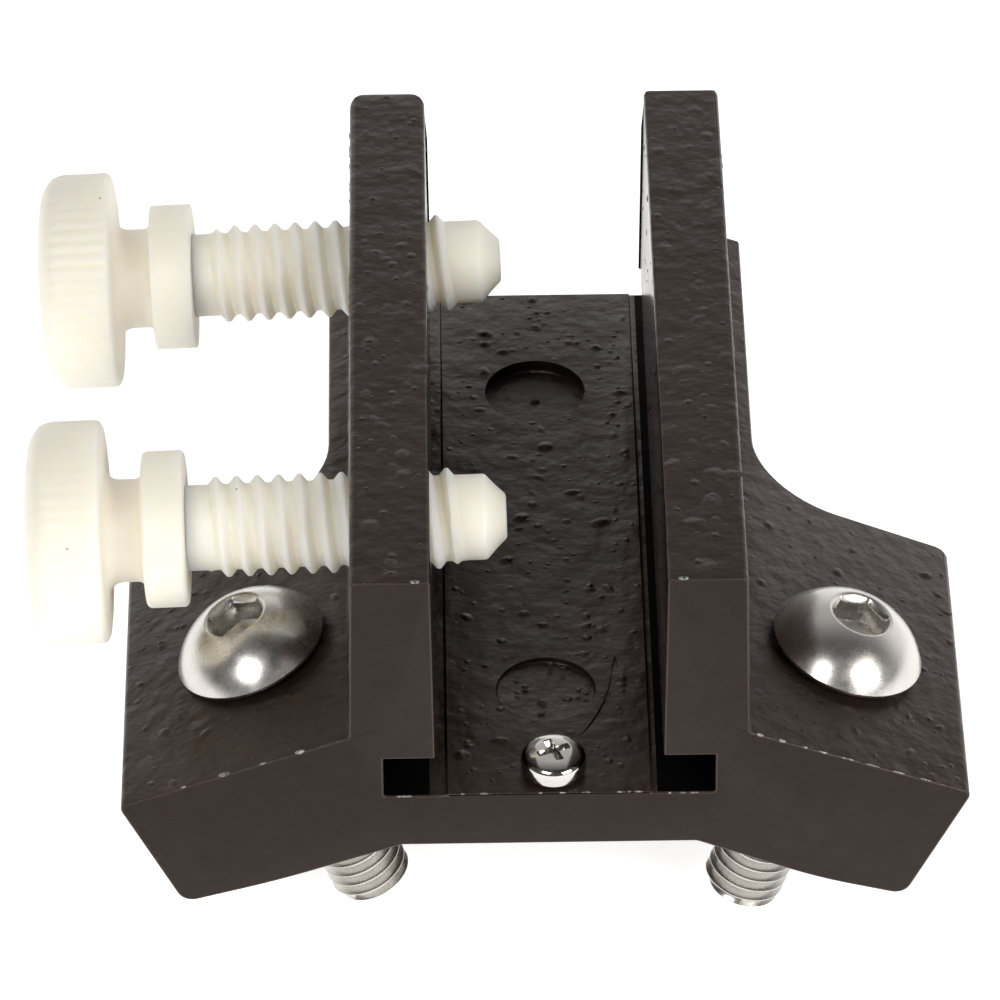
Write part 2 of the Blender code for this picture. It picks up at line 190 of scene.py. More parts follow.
def thread_rod(bm, thread, start, end, tip_cone, sides, fade_start, fade_end, cap=None):
    """A right-hand thread from start up to end; gives back the loop of points above it, left open.

    thread is crest, root, pitch, and the share of a pitch that the crest's flat takes up.
    tip_cone is (height, radius, slope): nothing is wider than radius + slope * (height - z).
    Whatever climbs beyond the height cap is drawn in to a flat end there instead.
    """
    crest, root, pitch, flat = thread
    shape = [(0.0, 0.0), (0.14, 0.04), (0.5 - flat, 0.93), (0.5 - flat / 2, 1.0),
             (0.5 + flat / 2, 1.0), (0.5 + flat, 0.93), (0.86, 0.04)]
    count = len(shape)
    turns = int((end - start) / pitch)
    rows = turns * count + 1
    columns = []
    for column in range(sides):
        angle = 2 * math.pi * column / sides
        points = []
        for row in range(rows + (count if column == 0 else 0)):
            share, level = shape[row % count]
            climb = row // count + share + column / sides
            height = start + pitch * climb
            fade = min(1.0, max(0.0, (climb - 0.9) / fade_start),
                       max(0.0, (turns - 0.02 - climb) / fade_end))
            radius = root + (crest - root) * level * fade
            if tip_cone:
                radius = min(radius, tip_cone[1] + tip_cone[2] * (tip_cone[0] - height))
            if cap and height > cap:
                radius = tip_cone[1] * (1 - 0.8 * (height - cap) / (end + 2 * pitch - cap))
                height = cap
            points.append(bm.verts.new((radius * math.cos(angle), radius * math.sin(angle), height)))
        columns.append(points)
    seam = columns[0]
    columns.append(seam[count:])
    angles = [2 * math.pi * i / sides for i in range(sides)]
    low = [bm.verts.new((root * math.cos(a), root * math.sin(a), start - 0.3)) for a in angles]
    high_z = start + pitch * (turns + 1) + 0.02
    high_r = root
    if cap:
        high_z, high_r = cap, 0.15 * root
    elif tip_cone:
        high_r = min(root, tip_cone[1] + tip_cone[2] * (tip_cone[0] - high_z))
    high = [bm.verts.new((high_r * math.cos(a), high_r * math.sin(a), high_z)) for a in angles]
    low_loop = low + low[:1]
    high_loop = high + high[:1]
    top = rows - 1
    for i in range(sides):
        near, far = columns[i], columns[i + 1]
        for row in range(top):
            bm.faces.new((near[row], far[row], far[row + 1], near[row + 1]))
        step_up = seam[:count] if i == sides - 1 else []
        step_down = list(reversed(seam[rows:rows - 1 + count + 1])) if i == 0 else []
        bm.faces.new([low_loop[i], low_loop[i + 1]] + step_up + [far[0], near[0]])
        bm.faces.new([near[top], far[top], high_loop[i + 1], high_loop[i]] + step_down)
    bm.faces.new(low)
    return high


def close_up(bm, loop, rings):
    """Carry a loop of points on through more (radius, height) rings to a flat end."""
    count = len(loop)
    for radius, height in rings:
        fresh = []
        for i in range(count):
            angle = 2 * math.pi * i / count
            fresh.append(bm.verts.new((radius * math.cos(angle), radius * math.sin(angle), height)))
        for i in range(count):
            j = (i + 1) % count
            bm.faces.new((loop[i], loop[j], fresh[j], fresh[i]))
        loop = fresh
    bm.faces.new(loop)


def round_corners(corners, steps=6):
    """An outline from (x, y, radius) corners, each rounded with an arc of that radius."""
    outline = []
    for i, (x, y, radius) in enumerate(corners):
        here = Vector((x, y))
        if radius == 0:
            outline.append(here)
            continue
        to_last = (Vector(corners[i - 1][:2]) - here).normalized()
        to_next = (Vector(corners[(i + 1) % len(corners)][:2]) - here).normalized()
        half = to_last.angle(to_next) / 2
        middle = here + (to_last + to_next).normalized() * (radius / math.sin(half))
        start = (here + to_last * (radius / math.tan(half)) - middle).normalized()
        end = (here + to_next * (radius / math.tan(half)) - middle).normalized()
        for k in range(steps + 1):
            outline.append(middle + start.slerp(end, k / steps) * radius)
    return outline


def prism(outline, place, depth):
    """A flat outline, put in space point by point, then pushed along depth."""
    bm = bmesh.new()
    face = bm.faces.new([bm.verts.new(place(p)) for p in outline])
    moved = bmesh.ops.extrude_face_region(bm, geom=[face])
    verts = [v for v in moved["geom"] if isinstance(v, bmesh.types.BMVert)]
    bmesh.ops.translate(bm, vec=depth, verts=verts)
    return bm


# ---------------------------------------------------------------- materials

class Nodes:
    """Short names for building a node tree."""

    def __init__(self, name):
        self.material = bpy.data.materials.new(name)
        self.material.use_nodes = True
        self.tree = self.material.node_tree
        self.shader = self.tree.nodes["Principled BSDF"]
        self.coords = self.tree.nodes.new("ShaderNodeTexCoord").outputs["Object"]

    def link(self, source, target):
        self.tree.links.new(source, target)

    def put(self, target, value):
        if isinstance(value, bpy.types.NodeSocket):
            self.link(value, target)
        else:
            target.default_value = value

    def math(self, operation, a, b=0.0, c=0.0, clamp=False):
        node = self.tree.nodes.new("ShaderNodeMath")
        node.operation = operation
        node.use_clamp = clamp
        for socket, value in zip(node.inputs, (a, b, c)):
            self.put(socket, value)
        return node.outputs[0]

    def noise(self, size_mm, detail=2.0, rough=0.5, stretch=(1, 1, 1), offset=0.0):
        """Noise whose blobs are about size_mm across, from 0 to 1."""
        place = self.tree.nodes.new("ShaderNodeMapping")
        place.inputs["Scale"].default_value = [s / (size_mm * MM) for s in stretch]
        place.inputs["Location"].default_value = (offset, offset, offset)
        self.link(self.coords, place.inputs["Vector"])
        node = self.tree.nodes.new("ShaderNodeTexNoise")
        node.inputs["Scale"].default_value = 1.0
        node.inputs["Detail"].default_value = detail
        node.inputs["Roughness"].default_value = rough
        self.link(place.outputs[0], node.inputs["Vector"])
        return node.outputs["Fac"]

    def cells(self, size_mm, offset=0.0):
        """Voronoi cells: distance to the cell's point in cells, and the cell's random colour."""
        place = self.tree.nodes.new("ShaderNodeMapping")
        place.inputs["Scale"].default_value = [1 / (size_mm * MM)] * 3
        place.inputs["Location"].default_value = (offset, offset, offset)
        self.link(self.coords, place.inputs["Vector"])
        node = self.tree.nodes.new("ShaderNodeTexVoronoi")
        node.inputs["Scale"].default_value = 1.0
        self.link(place.outputs[0], node.inputs["Vector"])
        split = self.tree.nodes.new("ShaderNodeSeparateColor")
        self.link(node.outputs["Color"], split.inputs[0])
        return node.outputs["Distance"], split.outputs

    def remap(self, value, low, high, to_low, to_high):
        node = self.tree.nodes.new("ShaderNodeMapRange")
        self.link(value, node.inputs["Value"])
        for name, number in (("From Min", low), ("From Max", high), ("To Min", to_low), ("To Max", to_high)):
            node.inputs[name].default_value = number
        return node.outputs["Result"]

    def mix(self, share, a, b):
        node = self.tree.nodes.new("ShaderNodeMix")
        node.data_type = "RGBA"
        self.put(node.inputs[0], share)
        for socket, value in ((node.inputs[6], a), (node.inputs[7], b)):
            if isinstance(value, bpy.types.NodeSocket):
                self.link(value, socket)
            else:
                socket.default_value = (*value, 1.0)
        return node.outputs[2]

    def bump(self, height, depth_mm, below=None):
        node = self.tree.nodes.new("ShaderNodeBump")
        node.inputs["Distance"].default_value = depth_mm * MM
        node.inputs["Strength"].default_value = 1.0
        self.link(height, node.inputs["Height"])
        if below:
            self.link(below, node.inputs["Normal"])
        return node.outputs["Normal"]

    def split_position(self):
        node = self.tree.nodes.new("ShaderNodeSeparateXYZ")
        self.link(self.coords, node.inputs[0])
        return node.outputs

    def set(self, **values):
        for name, value in values.items():
            self.put(self.shader.inputs[name.replace("_", " ")], value)
        return self.material


def pimple_height(n, size_mm, keep, offset):
    """Rounded paint pimples: one in some of the cells, each with its own width."""
    distance, colour = n.cells(size_mm, offset)
    width = n.remap(colour[0], 0.0, 1.0, 0.07, 0.26)
    shown = n.math("GREATER_THAN", colour[1], 1 - keep)
    near = n.math("SUBTRACT", 1.0, n.math("DIVIDE", distance, width), clamp=True)
    dome = n.math("MULTIPLY", n.math("SMOOTH_MIN", near, 0.72, 0.25), width)
    return n.math("MULTIPLY", dome, shown)


def paint_colour(n):
    """A warm black with soft patches and a fine lighter grain."""
    patches = n.noise(9, 3, 0.55)
    grain = n.noise(0.5, 3, 0.6, offset=4)
    tone = n.mix(n.remap(patches, 0.35, 0.65, 0, 1), (0.0168, 0.0097, 0.0066), (0.0216, 0.0128, 0.0090))
    return n.mix(n.math("MULTIPLY", n.remap(grain, 0.45, 0.75, 0, 1), 0.35), tone, (0.034, 0.0215, 0.016))


def rough_paint():
    """Thick paint over rough cast metal: swells, pimples and fine ripples."""
    n = Nodes("black_paint_cast")
    n.shader.inputs["Specular Tint"].default_value = PAINT_SHEEN
    normal = n.bump(n.noise(1.7, 2, 0.5, offset=2), 0.20)
    normal = n.bump(n.noise(0.75, 2, 0.5, stretch=(0.7, 1, 1), offset=13), 0.06, normal)
    normal = n.bump(pimple_height(n, 1.3, 0.4, 0.0), 0.55, normal)
    normal = n.bump(n.noise(0.22, 3, 0.55, stretch=(0.7, 1, 1), offset=7), 0.017, normal)
    rough = n.remap(n.noise(2.5, 3, 0.6, offset=11), 0.3, 0.7, 0.32, 0.42)
    return n.set(Base_Color=paint_colour(n), Roughness=rough, Normal=normal, IOR=1.45)


def shaded_wall_paint():
    """Glossier paint on the walls' inner faces, with low ripples; its colour is mostly near-black, painted
    shade for the channel that the other wall keeps dark.
    """
    n = Nodes("black_paint_glossy_painted_shade")
    n.shader.inputs["Specular Tint"].default_value = PAINT_SHEEN
    normal = n.bump(n.noise(1.2, 2, 0.5, stretch=(1, 0.6, 1), offset=2), 0.018)
    normal = n.bump(n.noise(0.4, 3, 0.6, stretch=(1, 0.5, 1), offset=7), 0.010, normal)
    rough = n.remap(n.noise(2.5, 3, 0.6, offset=11), 0.3, 0.7, 0.14, 0.24)
    # painted shade: the paint's colour taken 70% of the way to near-black
    tone = n.mix(0.7, paint_colour(n), (0.0015, 0.001, 0.001))
    return n.set(Base_Color=tone, Roughness=rough, Normal=normal, IOR=1.5)


def smooth_paint():
    """Thinner paint over the sawn ends, with a faint line that carries on from each wing's top."""
    n = Nodes("black_paint_smooth")
    n.shader.inputs["Specular Tint"].default_value = PAINT_SHEEN
    position = n.split_position()
    normal = n.bump(n.noise(0.8, 3, 0.55, offset=3), 0.05)
    normal = n.bump(n.noise(0.16, 3, 0.6, offset=9), 0.016, normal)
    out = n.math("ABSOLUTE", position[0])
    level = n.math("ADD", position[2], n.math("MULTIPLY", out, math.tan(SLOPE)))
    above = n.math("SUBTRACT", level, (WING_ROOT + WALL_OUTER * math.tan(SLOPE)) * MM)
    near = n.remap(n.math("ABSOLUTE", above), 0.03 * MM, 0.12 * MM, 1, 0)
    inside = n.math("MULTIPLY", n.math("GREATER_THAN", out, 10.3 * MM), n.math("LESS_THAN", out, 11.9 * MM))
    broken = n.remap(n.noise(0.5, 2, 0.5, offset=17), 0.4, 0.5, 0, 0.75)
    line = n.math("MULTIPLY", n.math("MULTIPLY", near, inside), broken)
    dull = n.mix(0.4, paint_colour(n), (0.006, 0.004, 0.0038))
    colour = n.mix(line, dull, (0.002, 0.002, 0.002))
    n.shader.inputs["Specular IOR Level"].default_value = 0.25
    rough = n.remap(n.noise(1.6, 3, 0.6, offset=1), 0.3, 0.7, 0.44, 0.56)
    return n.set(Base_Color=colour, Roughness=rough, Normal=normal)


def edge_paint():
    """Paint drawn thin and glossy over the narrow bevels."""
    n = Nodes("black_paint_edge")
    n.shader.inputs["Specular Tint"].default_value = PAINT_SHEEN
    normal = n.bump(n.noise(0.5, 3, 0.6, offset=3), 0.07)
    rough = n.remap(n.noise(1.6, 3, 0.6, offset=1), 0.3, 0.7, 0.30, 0.42)
    return n.set(Base_Color=paint_colour(n), Roughness=rough, Normal=normal)


def slot_painted_shade():
    """Near-black, nearly glossless paint for the inside of the T-slots: painted shade, far darker than the
    real paint, since hardly any light gets in there.
    """
    n = Nodes("black_paint_slot_painted_shade")
    # painted shade: a near-black colour in place of the paint's own
    tone = n.mix(n.noise(1.0, 3, 0.6), (0.0004, 0.0004, 0.0004), (0.0012, 0.0011, 0.001))
    normal = n.bump(n.noise(0.5, 3, 0.6, offset=3), 0.05)
    n.shader.inputs["Specular IOR Level"].default_value = 0.04
    rough = n.remap(n.noise(1.6, 3, 0.6, offset=1), 0.3, 0.7, 0.6, 0.75)
    return n.set(Base_Color=tone, Roughness=rough, Normal=normal)


def painted_glint_metal():
    """Light grey, part-metallic beads: painted glints where beads of paint on the edges catch the lights."""
    n = Nodes("painted_glint_metal")
    # painted glint: a light grey colour where beads of paint catch the softboxes
    tone = n.mix(n.remap(n.noise(0.25, 3, 0.6), 0.35, 0.65, 0, 1), (0.06, 0.06, 0.06), (0.42, 0.43, 0.43))
    normal = n.bump(n.noise(0.2, 3, 0.6, offset=3), 0.06)
    rough = n.remap(n.noise(0.3, 2, 0.6, offset=1), 0.3, 0.7, 0.3, 0.5)
    return n.set(Base_Color=tone, Metallic=0.6, Roughness=rough, Normal=normal)


def nylon():
    """Ivory nylon that light soaks into, cloudy, with a dark speck here and there."""
    n = Nodes("ivory_nylon")
    cloud = n.noise(3.0, 3, 0.5)
    colour = n.mix(n.remap(cloud, 0.3, 0.7, 0, 1), (0.885, 0.845, 0.745), (0.915, 0.88, 0.79))
    distance, random_colour = n.cells(3.1, 2.0)
    few = n.math("GREATER_THAN", random_colour[2], 0.8)
    speck = n.math("MULTIPLY", n.remap(distance, 0.02, 0.035, 1, 0), few)
    colour = n.mix(n.math("MULTIPLY", speck, 0.6), colour, (0.25, 0.18, 0.12))
    normal = n.bump(n.noise(0.7, 3, 0.5, offset=5), 0.02)
    rough = n.remap(n.noise(1.2, 2, 0.5, offset=8), 0.3, 0.7, 0.42, 0.54)
    n.shader.inputs["Subsurface Weight"].default_value = 0.9
    n.shader.inputs["Subsurface Radius"].default_value = (1.0, 0.85, 0.6)
    n.shader.inputs["Subsurface Scale"].default_value = 2.2 * MM
    return n.set(Base_Color=colour, Roughness=rough, Normal=normal)


def steel(name, low, high):
    """Polished steel; its roughness varies between low and high."""
    n = Nodes(name)
    normal = n.bump(n.noise(0.25, 2, 0.5), 0.0012)
    rough = n.remap(n.noise(0.9, 4, 0.65, offset=3), 0.3, 0.7, low, high)
    tint = n.mix(n.noise(2.0, 2, 0.5), (0.60, 0.575, 0.545), (0.68, 0.66, 0.635))
    n.shader.inputs["Metallic"].default_value = 1.0
    return n.set(Base_Color=tint, Roughness=rough, Normal=normal)


def pale_floor():
    """The studio's white floor, which glows a little."""
    n = Nodes("pale_floor")
    n.shader.inputs["Roughness"].default_value = 0.9
    n.shader.inputs["Specular IOR Level"].default_value = 0.1
    n.shader.inputs["Emission Color"].default_value = (1.0, 0.995, 0.985, 1.0)
    n.shader.inputs["Emission Strength"].default_value = 0.7
    tone = n.mix(n.noise(300, 2, 0.5), (0.93, 0.93, 0.93), (0.95, 0.95, 0.95))
    return n.set(Base_Color=tone)


# ---------------------------------------------------------------- base casting

def wing_corners(wing):
    """One wing from the flat strip underneath, round its tip and up to the wall's foot."""
    tip, inner_slope, bend, outer_slope, bend_round = wing
    tip_height = WING_ROOT - (tip - WALL_OUTER) * math.tan(SLOPE)
    lean = math.tan(SIDE_LEAN)
    bend_drop = inner_slope * (bend - SEAT_HALF)
    start = bend_drop - outer_slope * bend
    keel = (tip - lean * (tip_height + start)) / (1 + lean * outer_slope)
    return [
        (SEAT_HALF, 0.0, 0.8),
        (bend, -bend_drop, bend_round),
        (keel, -(start + outer_slope * keel), 1.0),
        (tip, tip_height, 0.5),
        (WALL_OUTER, WING_ROOT, 0.25),
    ]


def wall_corners(edge):
    """One wall and half the channel; edge is how far out the floor's paint reaches before the T-slot's
    near-black painted shade begins.
    """
    return [
        (WALL_OUTER_TOP, WALL_TOP, 0.35),
        (CHANNEL_HALF_TOP, WALL_TOP, 0.25),
        (CHANNEL_HALF, SLOT_CEILING, 0),
        (SLOT_REACH, SLOT_CEILING, 0),
        (SLOT_REACH, SLOT_FLOOR, 0.15),
        (edge, SLOT_FLOOR, 0),
        (RELIEF_HALF, SLOT_FLOOR, 0),
        (RELIEF_HALF, FLOOR_TOP, 0.06),
    ]


def base_outline():
    """The whole front face as one closed outline."""
    right = wing_corners(RIGHT_WING) + wall_corners(RIGHT_SHADE_EDGE)
    left = wing_corners(LEFT_WING) + wall_corners(LEFT_SHADE_EDGE)
    return round_corners(right + [(-x, z, radius) for x, z, radius in reversed(left)], steps=6)


def tool(bm):
    """A cutter, used once and thrown away."""
    bmesh.ops.recalc_face_normals(bm, faces=bm.faces)
    bmesh.ops.scale(bm, vec=(MM, MM, MM), verts=bm.verts)
    mesh = bpy.data.meshes.new("tool")
    bm.to_mesh(mesh)
    bm.free()
    item = bpy.data.objects.new("tool", mesh)
    bpy.context.scene.collection.objects.link(item)
    return item


def bar(centre, direction, radius, length, sides):
    bm = lathe([(radius, -length / 2), (radius, length / 2)], sides)
    turn = Vector(direction).to_track_quat("Z", "Y").to_matrix().to_4x4()
    bm.transform(Matrix.Translation(Vector(centre)) @ turn)
    return tool(bm)


def wing_trim(side):
    """Takes away what is behind a wing and beside the ledge, with a fillet between the two."""
    beyond = 31
    tip = LEFT_WING[0] if side < 0 else RIGHT_WING[0]
    flank = side * (tip - 0.15)
    edge = FRONT + WING_BACK_TIP
    corners = [
        (side * beyond, edge - 1.8, 0),
        (side * beyond, BACK + 5, 0),
        (side * LEDGE_HALF, BACK + 5, 0),
        (side * LEDGE_HALF, FRONT + WING_BACK, WING_FILLET),
        (flank, edge, 0.9),
        (flank, edge - 1.8, 0),
    ]
    return tool(prism(round_corners(corners, 12), lambda p: (p.x, p.y, -15), Vector((0, 0, 34))))


def corner_trim(low, high, outward, radius):
    """Rounds one back corner of a wall; the corner leans from low up to high."""
    x, bottom = low
    corners = [
        (x + outward, BACK + 1, 0),
        (x - outward * 1.5 * radius, BACK + 1, 0),
        (x - outward * 1.5 * radius, BACK, 0),
        (x, BACK, radius),
        (x, BACK - 1.5 * radius, 0),
        (x + outward, BACK - 1.5 * radius, 0),
    ]
    up = Vector((high[0] - x, 0, high[1] - bottom)) * 1.1
    return tool(prism(round_corners(corners, 5), lambda p: (p.x, p.y, bottom), up))


def corner_trims(side):
    radius = LEFT_END_ROUND if side < 0 else RIGHT_END_ROUND
    outer = corner_trim((side * WALL_OUTER, WING_ROOT + 0.2), (side * WALL_OUTER_TOP, WALL_TOP), side, radius)
    low = (side * CHANNEL_HALF, SLOT_CEILING - 1)
    inner = corner_trim(low, (side * CHANNEL_HALF_TOP, WALL_TOP), -side, radius)
    return [outer, inner]


def top_trim():
    """Rounds the walls' top edges at the back."""
    radius = 0.55
    reach = 2 * radius
    corners = [
        (BACK + 1, WALL_TOP + 1, 0),
        (BACK - reach, WALL_TOP + 1, 0),
        (BACK - reach, WALL_TOP, 0),
        (BACK, WALL_TOP, radius),
        (BACK, WALL_TOP - reach, 0),
        (BACK + 1, WALL_TOP - reach, 0),
    ]
    return tool(prism(round_corners(corners, 5), lambda p: (-13, p.x, p.y), Vector((26, 0, 0))))


def pit_cutter(x, depth, radius, cut, dip):
    """A disc with soft edges; its flat bottom may dip towards the far right."""
    dip = math.radians(dip)
    axis = Vector((math.sin(dip) * 0.5, math.sin(dip) * 0.87, math.cos(dip)))
    soft = min(0.15, cut / 2)
    rings = [(radius - 3 * soft, -cut), (radius - 0.8 * soft, -cut + 0.25 * soft), (radius, -cut + soft)]
    rings += [(radius, 0.0), (radius + 0.4 * soft, 2.0)]
    bm = lathe(rings, 96)
    turn = axis.to_track_quat("Z", "Y").to_matrix().to_4x4()
    bm.transform(Matrix.Translation(Vector((x, FRONT + depth, FLOOR_TOP))) @ turn)
    return tool(bm)


def groove_cutter():
    """A shallow curved score in the channel floor."""
    start, end, bow = Vector(GROOVE[0]), Vector(GROOVE[1]), GROOVE[2]
    along = end - start
    across = Vector((-along.y, along.x)).normalized()
    near, far = [], []
    for k in range(17):
        share = k / 16
        middle = start + along * share + across * bow * 4 * share * (1 - share)
        half = 0.2 * (1 - share) ** 0.7 * min(1, 8 * share) + 0.015
        near.append(middle - across * half)
        far.append(middle + across * half)
    outline = near + far[::-1]
    return tool(prism(outline, lambda p: (p.x, p.y, FLOOR_TOP - 0.16), Vector((0, 0, 1))))


def wing_normal(side):
    return Vector((side * math.sin(SLOPE), 0, math.cos(SLOPE)))


def wing_middle(side, along, depth):
    down_slope = Vector((side * math.cos(SLOPE), 0, -math.sin(SLOPE)))
    top = Vector((side * WALL_OUTER, FRONT + depth, WING_ROOT))
    return top + down_slope * along - wing_normal(side) * (WING_THICK / 2)


def cut(item, tools):
    for i, cutter in enumerate(tools):
        change = item.modifiers.new(f"cut {i}", "BOOLEAN")
        change.operation = "DIFFERENCE"
        change.solver = "EXACT"
        change.object = cutter


def settle(item, tools):
    """Swap the mesh for the result of its modifiers, and clear the cutters away."""
    mesh = bpy.data.meshes.new_from_object(item.evaluated_get(bpy.context.evaluated_depsgraph_get()))
    item.modifiers.clear()
    item.data = mesh
    for cutter in tools:
        bpy.data.objects.remove(cutter, do_unlink=True)
    return mesh


def ellipsoid(bm, centre, along, up, sizes, material):
    """A small bead: half sizes along, up and across."""
    along, up = along.normalized(), up.normalized()
    across = along.cross(up)
    made = bmesh.ops.create_uvsphere(bm, u_segments=12, v_segments=8, radius=1.0)
    for vert in made["verts"]:
        x, y, z = vert.co
        vert.co = (centre + along * x * sizes[0] + up * y * sizes[1] + across * z * sizes[2]) * MM
    for face in {face for vert in made["verts"] for face in vert.link_faces}:
        face.material_index = material
        face.smooth = True


def pimple(bm, centre, u, v, radius, height, rng):
    """A low dome with a soft skirt that dips just under the surface."""
    normal = u.cross(v)
    squash = rng.uniform(0.75, 1.3)
    spin = rng.uniform(0, math.pi)
    skew = rng.uniform(-0.25, 0.25)
    sides = 14
    loops = []
    for share in (0.2, 0.4, 0.6, 0.8, 1.0):
        level = height * (0.5 + 0.5 * math.cos(math.pi * share)) - (0.003 if share == 1.0 else 0.0)
        loop = []
        for i in range(sides):
            angle = 2 * math.pi * i / sides
            a = radius * share * math.cos(angle) * squash + skew * radius * (1 - share)
            b = radius * share * math.sin(angle) / squash
            x = a * math.cos(spin) - b * math.sin(spin)
            y = a * math.sin(spin) + b * math.cos(spin)
            loop.append(bm.verts.new((centre + u * x + v * y + normal * level) * MM))
        loops.append(loop)
    top = bm.verts.new((centre + u * skew * radius + normal * height) * MM)
    fresh = []
    for i in range(sides):
        j = (i + 1) % sides
        fresh.append(bm.faces.new((top, loops[0][i], loops[0][j])))
        for inner, outer in zip(loops, loops[1:]):
            fresh.append(bm.faces.new((inner[i], outer[i], outer[j], inner[j])))
    for face in fresh:
        face.smooth = True


def sprinkle(bm, rng, corner, u, v, size, count, radii, steep, blocked):
    """Scatter pimples over a rectangle, small ones most often, away from blocked places."""
    for _ in range(count):
        a, b = rng.uniform(0.4, size[0] - 0.4), rng.uniform(0.4, size[1] - 0.4)
        radius = radii[0] + (radii[1] - radii[0]) * rng.random() ** 2.5
        height = radius * rng.uniform(*steep)
        centre = corner + u * a + v * b
        if not blocked(centre, radius):
            pimple(bm, centre, u, v, radius, height, rng)


def near_floor_feature(centre, radius):
    """On a pit's rim, over the deep pit, or beside the stop screw."""
    for x, depth, pit_radius, cut_depth, _dip in PITS:
        off = math.hypot(centre.x - x, centre.y - FRONT - depth)
        deep = cut_depth > 0.5
        if abs(off - pit_radius) < radius + 0.15 or (deep and off < pit_radius):
            return True
    return math.hypot(centre.x - STOP_X, centre.y - FRONT - STOP_DEPTH) < 2.1 + radius


def near_wing_feature(centre, radius):
    """Beside a wing screw's head, or past the wing's back edge."""
    side = 1 if centre.x > 0 else -1
    bolt = wing_middle(*BOLTS["right" if side > 0 else "left"][:3])
    if math.hypot(centre.x - bolt.x - side * 1.5, centre.y - bolt.y) < 5.1 + radius:
        return True
    out = abs(centre.x)
    edge = FRONT + WING_BACK - (out - LEDGE_HALF) * 0.07
    if out < LEDGE_HALF + 5.5:
        edge -= 0.3
    return centre.y > edge - radius - 0.3


def near_hole(centre, radius):
    holes = [FRONT + place for place, *_rest in THUMBS.values()]
    clear = 4.0 + radius
    return centre.x < 0 and any(math.hypot(centre.y - y, centre.z - THUMB_HEIGHT) < clear for y in holes)


def add_pimples(bm):
    rng = random.Random(11)
    x_axis, y_axis = Vector((1, 0, 0)), Vector((0, 1, 0))
    floor = Vector((-RELIEF_HALF, FRONT, FLOOR_TOP))
    size = (2 * RELIEF_HALF, LENGTH)
    sprinkle(bm, rng, floor, x_axis, y_axis, size, 210, (0.17, 0.5), (0.13, 0.32), near_floor_feature)
    for x, y, radius in BIG_PIMPLES:
        pimple(bm, Vector((x, y, FLOOR_TOP)), x_axis, y_axis, radius * 1.3, radius * 0.42, rng)
    pit_bottom = FLOOR_TOP - PITS[0][3]
    pimple(bm, Vector((PITS[0][0], FRONT + PITS[0][1], pit_bottom)), x_axis, y_axis, 0.42, 0.2, rng)
    for side in (-1, 1):
        add_wall_pimples(bm, rng, side)
        root = Vector((side * WALL_OUTER, FRONT, WING_ROOT))
        slope = Vector((math.cos(SLOPE), 0, -side * math.sin(SLOPE)))
        corner = root if side > 0 else root - slope * 14.6
        sprinkle(bm, rng, corner, slope, y_axis, (14.2, 24), 70, (0.18, 0.5), (0.13, 0.3), near_wing_feature)


def add_wall_pimples(bm, rng, side):
    x_axis, y_axis = Vector((1, 0, 0)), Vector((0, 1, 0))
    length = LENGTH - 1.8
    middle = side * (CHANNEL_HALF_TOP + WALL_OUTER_TOP) / 2
    top = Vector((middle - 2.2, FRONT, WALL_TOP))
    sprinkle(bm, rng, top, x_axis, y_axis, (4.4, length), 34, (0.35, 0.75), (0.07, 0.12), near_hole)
    sprinkle(bm, rng, top, x_axis, y_axis, (4.4, length), 26, (0.15, 0.32), (0.18, 0.35), near_hole)
    faces = (
        (CHANNEL_HALF, CHANNEL_HALF_TOP, SLOT_CEILING, -side, 60),
        (WALL_OUTER, WALL_OUTER_TOP, WING_ROOT + 0.3, side, 110),
    )
    for low_x, high_x, bottom, facing, count in faces:
        up = Vector((side * (high_x - low_x), 0, WALL_TOP - bottom))
        height = up.length
        up.normalize()
        corner = Vector((side * low_x, FRONT, bottom))
        u, v, size = (up, y_axis, (height, length)) if facing < 0 else (y_axis, up, (length, height))
        sprinkle(bm, rng, corner, u, v, size, count, (0.15, 0.4), (0.1, 0.25), near_hole)


def add_glint_beads(bm):
    """Light grey beads along the front edges as painted glints: the wings' tops, the floor and the walls'
    inner corners.
    """
    y_axis = Vector((0, 1, 0))
    for side, glints in ((-1, LEFT_GLINTS), (1, RIGHT_GLINTS)):
        down = Vector((side * math.cos(SLOPE), 0, -math.sin(SLOPE)))
        for out, length, half in glints:
            drop = (out - WALL_OUTER) * math.tan(SLOPE)
            deep = 0.8 * half
            height = WING_ROOT - drop - 0.02 - half / 2
            centre = Vector((side * out, FRONT + max(EDGE_ROUND / 2, deep), height))
            ellipsoid(bm, centre, down, y_axis, (length / 2, deep, half), GLINT_BEAD)
        corner = Vector((side * (CHANNEL_HALF_TOP + 0.9), FRONT + 0.13, WALL_TOP - 0.08))
        ellipsoid(bm, corner, Vector((1, 0, 0)), y_axis, (0.42, 0.13, 0.12), GLINT_BEAD)
    rng = random.Random(5)
    for _ in range(16):
        out = rng.uniform(-9.0, 9.0)
        height = FLOOR_TOP if abs(out) < RELIEF_HALF else SLOT_FLOOR
        centre = Vector((out, FRONT + 0.07, height - 0.06))
        ellipsoid(bm, centre, Vector((1, 0, 0)), y_axis, (rng.uniform(0.1, 0.35), 0.07, 0.06), GLINT_BEAD)


def paint_faces(mesh):
    """Pick each face's material: sawn ends, the inside of the T-slots with its near-black painted shade, then
    the walls' inner faces, glossier and darkened with painted shade.
    """
    for face in mesh.polygons:
        centre = face.center / MM
        out = abs(centre.x)
        if face.material_index == ROUGH and abs(centre.y) > BACK - 0.01:
            face.material_index = SAWN
        inside = CHANNEL_HALF < out < SLOT_REACH + 0.3 and SLOT_FLOOR - 0.2 < centre.z < SLOT_CEILING + 0.2
        if inside and abs(centre.y) < BACK - 0.3 and abs(face.normal.y) < 0.5:
            face.material_index = SLOT
        inner_wall = abs(out - CHANNEL_HALF) < 0.2 and centre.z > SLOT_CEILING + 1
        if face.material_index == ROUGH and inner_wall:
            face.material_index = GLOSSY


